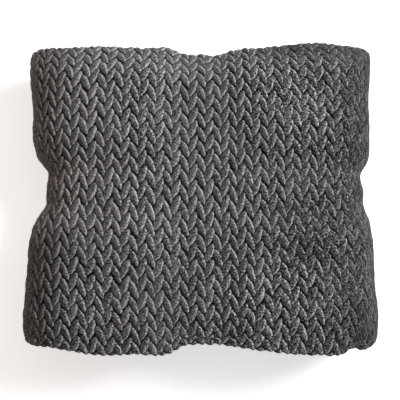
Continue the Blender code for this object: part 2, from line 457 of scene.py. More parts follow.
@dataclass(frozen=True)
class KnitRelief:
    """Columns of V stitches, pressed into the plush: each V is a left and a right leaf, plaited at the foot.

    Attributes:
        column: Width of a V.
        row: Rise from one V to the next.
        slope: How far the valleys fall from a V's outer end to its foot.
        height: Height of a leaf over the valleys.
        left: Leaves of the left arm.
        right: Leaves of the right arm, a third of a row up, so that the two arms are plaited.
        point: Power across a leaf, near 1 for pointed ends and 2 for round ones.
        belly: Power along a leaf.
        brow: Power of the profile, low for a flat back with steep sides.
        overlap: How much higher the right side of a leaf stands, so that it laps over its neighbour.
        slide: How far a leaf may lie up or down its column.
        shift: How far it may lie to a side.
        longer: Share by which its length may differ.
        wider: Share by which its width may differ.
        swell: Share by which its height may differ.
    """

    column: float = 17.0 * MM
    row: float = 14.6 * MM
    slope: float = 6.5 * MM
    height: float = 2.6 * MM
    left: Leaf = Leaf(side=-1.0, half_width=4.2 * MM, half_reach=9.4 * MM, lean=3.7 * MM, lift=0.0)
    right: Leaf = Leaf(side=1.0, half_width=4.6 * MM, half_reach=9.4 * MM, lean=3.6 * MM, lift=0.33)
    point: float = 1.55
    belly: float = 2.1
    brow: float = 0.40
    overlap: float = 0.30
    slide: float = 0.6 * MM
    shift: float = 0.4 * MM
    longer: float = 0.06
    wider: float = 0.09
    swell: float = 0.12

    def valley(self, p: np.ndarray) -> np.ndarray:
        """Return 0 at a V's outer ends and 1 at its foot, for places p in columns."""
        return 1.0 - np.abs(2.0 * (p - np.floor(p)) - 1.0)

    def leaves(self, p: np.ndarray, r: np.ndarray) -> tuple[np.ndarray, np.ndarray, np.ndarray]:
        """Work out the height, the tone and the rims of the leaves.

        With e across a leaf from its leaning middle line and s along it, each 1 at the rim, the height is
        (1 - |e|^point - |s|^belly)^brow (1 + overlap e). Where leaves overlap, the higher one shows.

        Args:
            p: Place across the cloth in columns.
            r: Place along the cloth in rows.

        Returns:
            Height, 0 in a valley and about 1 on a leaf; a tone from -1 to 1 for each leaf; and the place
            across the leaf, from -1 at its left rim to 1 at its right rim.
        """
        luck = np.random.default_rng(7).uniform(-1.0, 1.0, (6, NOISE_SIZE, NOISE_SIZE))
        best = np.zeros_like(p)
        tone = np.zeros_like(p)
        rim = np.zeros_like(p)
        nearest = np.floor(2.0 * p).astype(int)
        for neighbour in (-1, 0, 1):
            arm = nearest + neighbour
            is_right = arm % 2 == 1
            side, half_width, half_reach, lean, lift = (
                np.where(is_right, getattr(self.right, name), getattr(self.left, name))
                for name in ("side", "half_width", "half_reach", "lean", "lift")
            )
            beside = (p - 0.5 * arm - 0.25) * self.column
            place = r - lift
            for above in (0, 1):
                stitch = np.floor(place).astype(int) + above
                longer, wider, shift, slide, shade, swell = (
                    table[arm % NOISE_SIZE, stitch % NOISE_SIZE] for table in luck
                )
                reach = half_reach * (1.0 + self.longer * longer)
                s = ((place - stitch) * self.row + self.slide * slide) / reach
                middle = side * lean * s + self.shift * shift
                e = (beside - middle) / (half_width * (1.0 + self.wider * wider))
                inside = 1.0 - np.abs(e) ** self.point - np.abs(s) ** self.belly
                tilted = 1.0 + self.overlap * e + self.swell * swell
                height = np.clip(inside, 0.0, 1.0) ** self.brow * tilted
                higher = height > best
                best = np.where(higher, height, best)
                tone = np.where(higher, shade, tone)
                wide = np.clip(1.0 - np.abs(s) ** self.belly, 0.01, 1.0) ** (1.0 / self.point)
                rim = np.where(higher, e / wide, rim)
        return best, tone, rim


@dataclass
class FoldedThrow:
    """The whole cloth in its folded place.

    Attributes:
        thickness: Thickness of the cloth with its pile.
        ply_pitch: From ply to ply in the bundle.
        bundle_pitch: From level to level of the pack.
        run_x: Straight run of the folds across the width.
        run_y: Straight run of the folds along the length.
        tail: How far the last run goes on under the left roll.
        cut: Width and length of the cloth as it was cut; not used.
        relief: The embossing on its face.
        across: How the bundle is rolled over the width.
        along: How the length is folded into the bundle.
        form: The shape that the tie gives the stack.
        middle: Middle of the pressed pack, which place moves onto the frame's.
    """

    thickness: float = 3.0 * MM
    ply_pitch: float = 4.1 * MM
    bundle_pitch: float = 25.0 * MM
    run_x: float = 272.0 * MM
    run_y: float = 304.0 * MM
    tail: float = 30.0 * MM
    cut: tuple[float, float] = (1.40, 1.80)
    relief: KnitRelief = field(default_factory=KnitRelief)
    across: FoldPath = field(init=False)
    along: FoldPath = field(init=False)
    form: TiedForm = field(init=False)
    middle: tuple[float, float] = field(init=False, default=(0.0, 0.0))

    def __post_init__(self) -> None:
        """Lay out both paths and centre the pack on the frame."""
        half = 0.5 * self.thickness
        outer_wall = 2.5 * self.ply_pitch + half
        self.across = FoldPath(RUNS_ACROSS, self.bundle_pitch, 0.5 * self.run_x, outer_wall, self.tail)
        self.along = FoldPath(RUNS_ALONG, self.ply_pitch, 0.5 * self.run_y, half)
        height = 3.0 * self.bundle_pitch + 2.0 * outer_wall
        self.form = TiedForm(0.5 * self.run_x, 0.5 * self.run_y, height)
        u = np.linspace(0.0, self.across.length, 600)[:, None]
        v = np.linspace(0.0, self.along.length, 1200)[None, :]
        x, y, _ = self.place(u, v, half)
        self.middle = (0.5 * float(x.min() + x.max()), 0.5 * float(y.min() + y.max()))

    @property
    def tight_turn(self) -> float:
        """Length of the face round one of the bundle's tight folds."""
        return math.pi * 0.5 * (self.ply_pitch + self.thickness)

    def place(self, u: np.ndarray, v: np.ndarray,
              w: np.ndarray) -> tuple[np.ndarray, np.ndarray, np.ndarray]:
        """Carry points of the cloth to their folded places.

        Args:
            u: Length across the cloth, counted on the outer wall of the bundle.
            v: Length along the cloth, counted on its face.
            w: Height over the middle of the cloth, towards its face.

        Returns:
            x, y and z in the frame.
        """
        y, level, normal_y, normal_level = self.along.at(v)
        y = y + w * normal_y
        level = level + w * normal_level
        x, z, normal_x, normal_z = self.across.at(u)
        x = x + level * normal_x
        z = z + level * normal_z + 0.5 * self.form.height
        x, y, z = self.form.press(x, y, z)
        return x - self.middle[0], y - self.middle[1], z


def grid_quads(index: np.ndarray) -> np.ndarray:
    """Return the cells of a grid of point numbers as (cells, 4), turned from columns to rows."""
    corners = (index[:-1, :-1], index[1:, :-1], index[1:, 1:], index[:-1, 1:])
    return np.stack(corners, axis=-1).reshape(-1, 4)


def grid_object(name: str, points: np.ndarray, layers: dict[str, np.ndarray],
                flat: np.ndarray) -> bpy.types.Object:
    """Make a mesh object from a grid of points, in one pass of whole arrays.

    Args:
        name: Name of the piece.
        points: Array of (columns, rows, 3), in metres.
        layers: Named values at the points, each an array of (columns, rows).
        flat: Array of (columns, rows, 2), the cloth's own coordinates in metres, for the UV map.

    Returns:
        The linked object, with faces that point to the side of columns crossed with rows.
    """
    columns, rows = points.shape[:2]
    index = np.arange(columns * rows, dtype=np.int32).reshape(columns, rows)
    quads = grid_quads(index)
    values = {key: value.ravel() for key, value in layers.items()}
    return mesh_object(name, points.reshape(-1, 3), quads, values, flat.reshape(-1, 2))


def mesh_object(name: str, points: np.ndarray, quads: np.ndarray, layers: dict[str, np.ndarray],
                flat: np.ndarray) -> bpy.types.Object:
    """Make a smooth mesh object from points and quads.

    Args:
        name: Name of the piece.
        points: Array of (count, 3), in metres.
        quads: Array of (faces, 4) of point numbers.
        layers: Named values at the points.
        flat: Array of (count, 2) for the UV map, in metres.

    Returns:
        The linked object.
    """
    mesh = bpy.data.meshes.new(name)
    mesh.vertices.add(len(points))
    mesh.vertices.foreach_set("co", points.astype(np.float32).ravel())
    mesh.loops.add(quads.size)
    mesh.loops.foreach_set("vertex_index", quads.astype(np.int32).ravel())
    mesh.polygons.add(len(quads))
    mesh.polygons.foreach_set("loop_start", np.arange(0, quads.size, 4, dtype=np.int32))
    mesh.update(calc_edges=True)
    mesh.validate()
    for key, values in layers.items():
        layer = mesh.attributes.new(key, "FLOAT", "POINT")
        layer.data.foreach_set("value", values.astype(np.float32))
    uv = mesh.uv_layers.new(name="cloth")
    uv.data.foreach_set("uv", flat[quads.ravel()].astype(np.float32).ravel())
    mesh.shade_smooth()
    piece = bpy.data.objects.new(name, mesh)
    bpy.context.scene.collection.objects.link(piece)
    return piece


@dataclass
class ReliefGauge:
    """Where the columns and rows of the relief lie on the pressed cloth, in real lengths on its face.

    Attributes:
        throw: The folded cloth.
        middle_column: Column whose left border lies nearest to the middle of the top.
        border: Where that border lies, across the pack.
        pull: How far the tie draws the rows apart on each side of the middle.
        pull_reach: How far from the middle the tie draws.
        slack: How much longer the rows are in the front half.
        skew: How far the rows climb to the right.
        lean: How far the right columns lean to the left at the back.
        start: Share of a row at the middle of the top.
        step: Spacing of the tables of real lengths.
        skewed: How far to each side of the middle the rows climb.
        leaning_right: Where the lean sets in, from the middle to the right.
        leaning_back: Where it sets in, from front to back.
        fade_left: Length across the cloth over which the move sets in under the left roll.
        fade_right: Length over which it fades out under the right roll.
        fade_front: Length along the cloth over which it sets in at the front.
        fade_back: Length over which it fades out at the back.
        passes: How many times the missing length is made up.
        origin: Real length across at which the middle column lies.
        rows: Real lengths along, over the rows that lie there.
        across: Real length across at each (u, v) of the table.
        along: Real length along at each (u, v).
    """

    throw: FoldedThrow
    middle_column: int = 12
    border: float = -6.3 * MM
    pull: float = 3.1 * MM
    pull_reach: float = 30.0 * MM
    slack: float = 0.05
    skew: float = 0.0225
    lean: float = 5.0 * MM
    start: float = -0.37
    step: float = 2.0 * MM
    skewed: float = 100.0 * MM
    leaning_right: Ramp = Ramp(0.0, 100.0)
    leaning_back: Ramp = Ramp(-120.0, 150.0)
    fade_left: float = 45.0 * MM
    fade_right: float = 60.0 * MM
    fade_front: float = 16.0 * MM
    fade_back: float = 30.0 * MM
    passes: int = 8
    origin: float = field(init=False)
    rows: np.ndarray = field(init=False)
    across: np.ndarray = field(init=False)
    along: np.ndarray = field(init=False)

    def __post_init__(self) -> None:
        """Measure the pressed face both ways from the middle of the top, and place the columns and rows."""
        throw = self.throw
        u = np.arange(0.0, throw.across.length + self.step, self.step)
        v = np.arange(0.0, throw.along.length + self.step, self.step)
        face = np.stack(throw.place(u[:, None], v[None, :], 0.5 * throw.thickness))
        steps_across = np.linalg.norm(np.diff(face, axis=1), axis=0)
        steps_along = np.linalg.norm(np.diff(face, axis=2), axis=0)
        self.across = np.pad(np.cumsum(steps_across, axis=0), ((1, 0), (0, 0)))
        self.along = np.pad(np.cumsum(steps_along, axis=1), ((0, 0), (1, 0)))
        middle_u = 0.5 * (throw.across.starts[2] + throw.across.ends[2])
        middle_v = 0.5 * (throw.along.starts[4] + throw.along.ends[4])
        self.across -= self.across[round(middle_u / self.step)][None, :]
        self.along -= self.along[:, round(middle_v / self.step)][:, None]
        x, _, _ = throw.place(np.array(self.step * round(middle_u / self.step)), np.array(middle_v), 0.0)
        self.origin = self.border - float(x)
        reach = np.linspace(-0.5, 0.5, 2001)
        drawn = self.pull * np.tanh(reach / self.pull_reach)
        eased = reach + self.slack * np.maximum(-reach, 0.0) - drawn
        self.rows = np.vstack((reach, eased / throw.relief.row + self.start))

    def _read(self, table: np.ndarray, u: np.ndarray, v: np.ndarray) -> np.ndarray:
        """Read a table of real lengths between its four nearest values.

        Args:
            table: The table, by steps of u and v.
            u: Length across the cloth.
            v: Length along the cloth.

        Returns:
            The real length at each place.
        """
        a = np.clip(u / self.step, 0.0, table.shape[0] - 1.001)
        b = np.clip(v / self.step, 0.0, table.shape[1] - 1.001)
        i, j = a.astype(int), b.astype(int)
        s, t = a - i, b - j
        near = table[i, j] * (1 - s) + table[i + 1, j] * s
        far = table[i, j + 1] * (1 - s) + table[i + 1, j + 1] * s
        return near * (1 - t) + far * t

    def lay(self, p: np.ndarray, r: np.ndarray) -> tuple[np.ndarray, np.ndarray]:
        """Find the lengths u and v whose real lengths from the middle of the top are those of p and r.

        Both start from the mean over the cloth and are moved by what is missing, a few times over. The move
        fades out at the skin's ends, on the underside and in the folds, where borders run straight.

        Args:
            p: Place across the cloth in columns.
            r: Place along the cloth in rows.

        Returns:
            Length across and length along the cloth.
        """
        u, v = self.length_across(p), self.length_along(r)
        across, along = self.throw.across, self.throw.along
        real_u = self.origin + self.throw.relief.column * (p - self.middle_column)
        real_v = np.interp(r, self.rows[1], self.rows[0])
        real_v = real_v + self.skew * np.clip(real_u, -self.skewed, self.skewed)
        real_u = real_u - self.lean * self.leaning_right.at(real_u) * self.leaning_back.at(real_v)
        fade_u = smoothstep((u - across.ends[1]) / self.fade_left)
        fade_u = fade_u * smoothstep((across.starts[3] - u) / self.fade_right)
        fade_v = smoothstep((v - along.starts[4]) / self.fade_front)
        fade_v = fade_v * smoothstep((along.starts[5] - v) / self.fade_back)
        new_u, new_v = u, v
        for _ in range(self.passes):
            missing_u = real_u - self._read(self.across, new_u, new_v)
            missing_v = real_v - self._read(self.along, new_u, new_v)
            new_u, new_v = new_u + missing_u, new_v + missing_v
        return u + fade_u * (new_u - u), v + fade_v * (new_v - v)

    def length_across(self, p: np.ndarray) -> np.ndarray:
        """Find the length across the cloth at a column, by the mean over the top.

        Args:
            p: Place across the cloth in columns.

        Returns:
            Length u across the cloth.
        """
        lengths = self.step * np.arange(self.across.shape[0])
        mean = self.across[:, self._top(self.throw.along, self.across.shape[1])].mean(axis=1)
        return np.interp(self.origin + self.throw.relief.column * (p - self.middle_column), mean, lengths)

    def length_along(self, r: np.ndarray) -> np.ndarray:
        """Find the length along the cloth at a row, by the mean over the top.

        Args:
            r: Place along the cloth in rows.

        Returns:
            Length v along the cloth.
        """
        lengths = self.step * np.arange(self.along.shape[1])
        mean = self.along[self._top(self.throw.across, self.along.shape[0], 2)].mean(axis=0)
        return np.interp(np.interp(r, self.rows[1], self.rows[0]), mean, lengths)

    def _top(self, path: FoldPath, count: int, run: int = 4) -> np.ndarray:
        """Pick four lines of a table, two near each end of the run that lies on top.

        Args:
            path: The fold path that the lines are counted along.
            count: Number of lines in the table.
            run: Number of the top run.

        Returns:
            Whole line numbers.
        """
        start, end = path.starts[run], path.ends[run]
        shares = np.array((0.18, 0.22, 0.78, 0.82))
        return np.clip(np.round((start + shares * (end - start)) / self.step).astype(int), 0, count - 1)

    def column_near(self, u: float) -> int:
        """Whole column nearest to a length across the cloth."""
        columns = np.linspace(-60.0, 60.0, 4801) + self.middle_column
        return round(float(np.interp(u, self.length_across(columns), columns)))

    def row_at(self, v: float) -> float:
        """Row at a length along the cloth."""
        rows = np.linspace(-30.0, 30.0, 4801)
        return float(np.interp(v, self.length_along(rows), rows))


@dataclass(frozen=True)
class PileWearAndShade:
    """How handling has left the pile, and where shade is painted on it, by the place on the pack.

    Each zone of the pack has a weight, made of ramps from 0 to 1 or of soft noise, and adds its wear times
    that weight. The patches come on top, each fading as exp(-distance squared), and small blotches last.

    Attributes:
        top: Height over which a patch sets in, so that it stays on the top.
        right_roll: Where the right roll begins, across.
        left_roll: Where the left roll begins, across to the left.
        back: Where the back edge begins.
        back_right: Where it begins to be crushed, across.
        right_half: Where the right half begins.
        rightward: Where the tufts begin to stand apart, across.
        inner_right: Where the right of the middle begins, across.
        inner: Where the middle begins, from front to back.
        front: Where the front half begins, towards the front.
        brink: Where the front edge begins, towards the front.
        cloud: Size of the broad clouds.
        blotch: Size of the blotches.
        mottle: Size of the smallest blotches.
        blotched: Strength of the blotches on standing pile.
        crush_blotched: What crushed pile adds to it.
        least_ruffle: The least that tufts stand apart.
    """

    top: Ramp = Ramp(30.0, 25.0)
    right_roll: Ramp = Ramp(112.0, 55.0)
    left_roll: Ramp = Ramp(118.0, 40.0)
    back: Ramp = Ramp(128.0, 25.0)
    back_right: Ramp = Ramp(20.0, 70.0)
    right_half: Ramp = Ramp(-60.0, 120.0)
    rightward: Ramp = Ramp(-60.0, 150.0)
    inner_right: Ramp = Ramp(20.0, 60.0)
    inner: Ramp = Ramp(-70.0, 60.0)
    front: Ramp = Ramp(20.0, 60.0)
    brink: Ramp = Ramp(110.0, 40.0)
    cloud: float = 55.0 * MM
    blotch: float = 8.5 * MM
    mottle: float = 3.8 * MM
    blotched: float = 0.05
    crush_blotched: float = 0.5
    least_ruffle: float = 0.1

    def at(self, x: np.ndarray, y: np.ndarray, z: np.ndarray) -> tuple[np.ndarray, np.ndarray, np.ndarray]:
        """Work out how the pile is handled at each place of the pack.

        Args:
            x: Across the pack.
            y: From front to back.
            z: Height.

        Returns:
            How far it is crushed, 0 to 1; how it is brushed, with painted shade on the rolls and at the
            front, dark below 0 and light above it; and how far its tufts stand apart, 0 to 1.
        """
        cloud = lattice_noise(x / self.cloud + 20.0, y / self.cloud + 20.0, 17)
        right_roll = self.right_roll.at(x)
        back = self.back.at(y) * self.back_right.at(x)
        right = self.right_half.at(x)
        front = self.front.at(-y)
        brink = self.brink.at(-y)
        # Painted shade darkens the right roll, which faces the key lamp head-on, the left roll, which turns
        # from it, and the front, away from the lamps at the back.
        # The back and the right of the middle are only made darker; clouds, patches and blotches are the
        # pile's own uneven brushing.
        zones = (
            (1.0, Wear(ruffle=0.28)),
            (cloud, Wear(nap_and_shade=0.10, ruffle=0.12)),
            (right_roll, Wear(crush=0.65, nap_and_shade=-0.37, ruffle=0.10)),
            (self.left_roll.at(-x), Wear(crush=0.10, nap_and_shade=-0.45, ruffle=-0.20)),
            (back * (1.0 - right_roll), Wear(crush=0.25, nap_and_shade=-0.52)),
            (back * right_roll, Wear(nap_and_shade=-0.13)),
            (self.inner_right.at(x) * self.inner.at(y), Wear(nap_and_shade=-0.09)),
            (self.rightward.at(x), Wear(ruffle=0.22)),
            (front * (1.0 - right), Wear(nap_and_shade=-0.11)),
            (front * right, Wear(nap_and_shade=0.01)),
            (brink * right, Wear(nap_and_shade=-0.11)),
            (front + brink, Wear(ruffle=0.15)),
        )
        crush, nap_and_shade, ruffle = (sum(weight * wear[part] for weight, wear in zones) for part in range(3))
        top = self.top.at(z)
        for patch in PATCHES:
            distance = np.hypot(x - patch.x * MM, y - patch.y * MM) / (patch.reach * MM)
            near = top * np.exp(-distance**2)
            crush = np.maximum(crush, patch.crush * near)
            nap_and_shade = nap_and_shade + patch.nap_and_shade * near
            ruffle = ruffle + patch.ruffle * near
        blotch = 0.6 * lattice_noise(x / self.blotch + 20.0, (y + z) / self.blotch + 40.0, 23)
        blotch = blotch + 0.5 * lattice_noise(x / self.mottle + 60.0, (y + z) / self.mottle + 60.0, 24)
        nap_and_shade = nap_and_shade + (self.blotched + self.crush_blotched * crush) * blotch
        return crush, nap_and_shade, np.clip(ruffle, self.least_ruffle, 1.0)


@dataclass(frozen=True)
class PileTexture:
    """How uneven the embossing and its pile are.

    Attributes:
        sway_across: How far the columns sway to the sides.
        sway_along: How far the rows sway up and down.
        jitter: How far the rows sway from leaf to leaf.
        drift: How far a ruffled leaf's outline wanders, in columns and rows.
        drift_from: Ruffle from which it wanders.
        lumps: Size of the soft lumps in the pile.
        tufts: Size of the small ones.
        lumpy: Share of a leaf's height that the lumps give or take.
        fuzz: Roughness of standing pile.
        ruffled_fuzz: What ruffled pile adds to it.
        crushed_lumps: Height of the lumps where the pile is crushed.
        flattened: Share of the relief that crushing takes from the colour, and so from the painted valley
            shade.
        worn_rims: Share of a rim's painted light and shade that full crushing takes.
        spread: Factor on a column's real width over its nominal one; from 1 on its leaves are full height.
    """

    sway_across: float = 0.6 * MM
    sway_along: float = 0.8 * MM
    jitter: float = 0.3 * MM
    drift: float = 0.22
    drift_from: float = 0.5
    lumps: float = 9.0 * MM
    tufts: float = 3.5 * MM
    lumpy: float = 0.3
    fuzz: float = 0.06 * MM
    ruffled_fuzz: float = 0.14 * MM
    crushed_lumps: float = 0.9 * MM
    flattened: float = 0.3
    worn_rims: float = 0.7
    spread: float = 1.6


@dataclass
class Skin:
    """One stretch of the relief, on the face of the folded cloth.

    The grid follows the V: each row of it falls towards the foot of the V, so that the valleys run along
    grid lines. Near the first and the last row the fall fades out, which gives a straight border.

    Attributes:
        name: Name of the piece.
        first: First column.
        last: Column after the last.
        low: Length along the cloth at which the skin starts.
        high: Length along the cloth at which it ends.
        fine: Cells of the grid across one arm of a V, and along one row.
        tuck_first: Whether the border at the first column dives into the cloth.
        tuck_last: Whether the border at the last column does.
        proud: How far the leaves stand out past the face of the plain cloth.
        buried: How far under the cloth's middle a border ends.
        straight_rows: Rows over which the fall of the grid fades in.
        calm: Length over which the rows' sway fades in.
        tuck: Length over which a border rises out of the cloth.
        tuck_columns: Part of a column over which a side border rises.
        wear: How the pile is handled, and where shade is painted on it.
        texture: How uneven it is.
    """

    name: str
    first: int
    last: int
    low: float
    high: float
    fine: tuple[int, int]
    tuck_first: bool = False
    tuck_last: bool = False
    proud: float = 0.5 * MM
    buried: float = 0.9 * MM
    straight_rows: float = 2.0
    calm: float = 6.0 * MM
    tuck: float = 2.5 * MM
    tuck_columns: float = 0.15
    wear: PileWearAndShade = PileWearAndShade()
    texture: PileTexture = PileTexture()

    def build(self, gauge: ReliefGauge) -> bpy.types.Object:
        """Work out the skin's grid, raise its leaves and make its mesh.

        Args:
            gauge: Columns and rows on the folded cloth.

        Returns:
            The finished piece, without its material.
        """
        throw, relief, texture = gauge.throw, gauge.throw.relief, self.texture
        p, r = self._grid(gauge)
        u, v = self._sway(p, r, *gauge.lay(p, r))
        half = 0.5 * throw.thickness
        wall = np.stack(throw.place(u, v, half))
        crush, nap_and_shade, ruffle = self.wear.at(*wall)
        drift = texture.drift * np.clip(ruffle - texture.drift_from, 0.0, 1.0)
        drift_p = drift * lattice_noise(2.3 * p, 1.9 * r, 18)
        drift_r = drift * lattice_noise(2.1 * p, 2.2 * r, 19)
        pillow, tone, rim = relief.leaves(p + drift_p, r + drift_r)
        width = np.linalg.norm(np.gradient(wall, axis=1), axis=0) * 2 * self.fine[0] / relief.column
        wave = 0.25 * lattice_noise(u / texture.lumps, v / texture.lumps, 15)
        wave = wave + 0.2 * lattice_noise(u / texture.tufts, v / texture.tufts, 16)
        pile = np.random.default_rng(21).uniform(-1.0, 1.0, u.shape)
        height = relief.height * pillow * (1.0 - crush) * (1.0 + texture.lumpy * wave)
        height = height * smoothstep(texture.spread * width)
        height = height + (texture.fuzz + texture.ruffled_fuzz * ruffle) * pile
        height = height + texture.crushed_lumps * crush * wave
        w = half + self.proud - relief.height + height
        tucked = self._tuck(p, v)
        w = np.where(tucked > 0.999, w, -self.buried + (w + self.buried) * tucked)
        x, y, z = throw.place(u, v, w)
        # relief and rim also steer the painted valley shade and the painted light and shade across each leaf
        layers = {
            "relief": pillow * (1.0 - texture.flattened * crush) + texture.flattened * crush,
            "tone": tone,
            "nap_and_shade": nap_and_shade,
            "rim": rim * (1.0 - texture.worn_rims * crush**2),
            "ruffle": ruffle,
        }
        points = np.stack((x, y, np.maximum(z, 0.0)), axis=-1)
        return grid_object(self.name, points, layers, np.stack((u, v), axis=-1))

    def _grid(self, gauge: ReliefGauge) -> tuple[np.ndarray, np.ndarray]:
        """Lay the skin's grid, whose rows fall towards the foot of each V.

        Args:
            gauge: Columns and rows on the folded cloth.

        Returns:
            The places of its points, in columns and in rows.
        """
        across, along = self.fine
        relief = gauge.throw.relief
        p = np.linspace(self.first, self.last, 2 * across * (self.last - self.first) + 1)[:, None]
        row_low, row_high = gauge.row_at(self.low), gauge.row_at(self.high)
        r = np.linspace(row_low, row_high, round((row_high - row_low) * along) + 1)[None, :]
        fade = smoothstep((r - row_low) / self.straight_rows)
        fade = fade * smoothstep((row_high - r) / self.straight_rows)
        r = r - relief.slope / relief.row * relief.valley(p) * fade
        return np.broadcast_to(p, r.shape), r

    def _sway(self, p: np.ndarray, r: np.ndarray, u: np.ndarray,
              v: np.ndarray) -> tuple[np.ndarray, np.ndarray]:
        """Let columns and rows sway a little, as embossing on a soft cloth does.

        Args:
            p: Places in columns.
            r: Places in rows.
            u: Lengths across the cloth.
            v: Lengths along the cloth.

        Returns:
            The swayed lengths across and along the cloth.
        """
        texture = self.texture
        u = u + texture.sway_across * lattice_noise(p / 3.1 + 3.3, r / 3.7, 11)
        calm = smoothstep((v - self.low) / self.calm) * smoothstep((self.high - v) / self.calm)
        sway = texture.sway_along * lattice_noise(p / 3.3, r / 3.9 + 7.1, 13)
        sway = sway + texture.jitter * lattice_noise(p / 0.9, r / 1.3, 14)
        return u, v + calm * sway

    def _tuck(self, p: np.ndarray, v: np.ndarray) -> np.ndarray:
        """Work out where the skin's borders dive into the cloth.

        Args:
            p: Places in columns.
            v: Lengths along the cloth.

        Returns:
            1 inside the skin, falling to 0 on those borders.
        """
        inside = smoothstep((v - self.low) / self.tuck) * smoothstep((self.high - v) / self.tuck)
        if self.tuck_first:
            inside = inside * smoothstep((p - self.first) / self.tuck_columns)
        if self.tuck_last:
            inside = inside * smoothstep((self.last - p) / self.tuck_columns)
        return inside


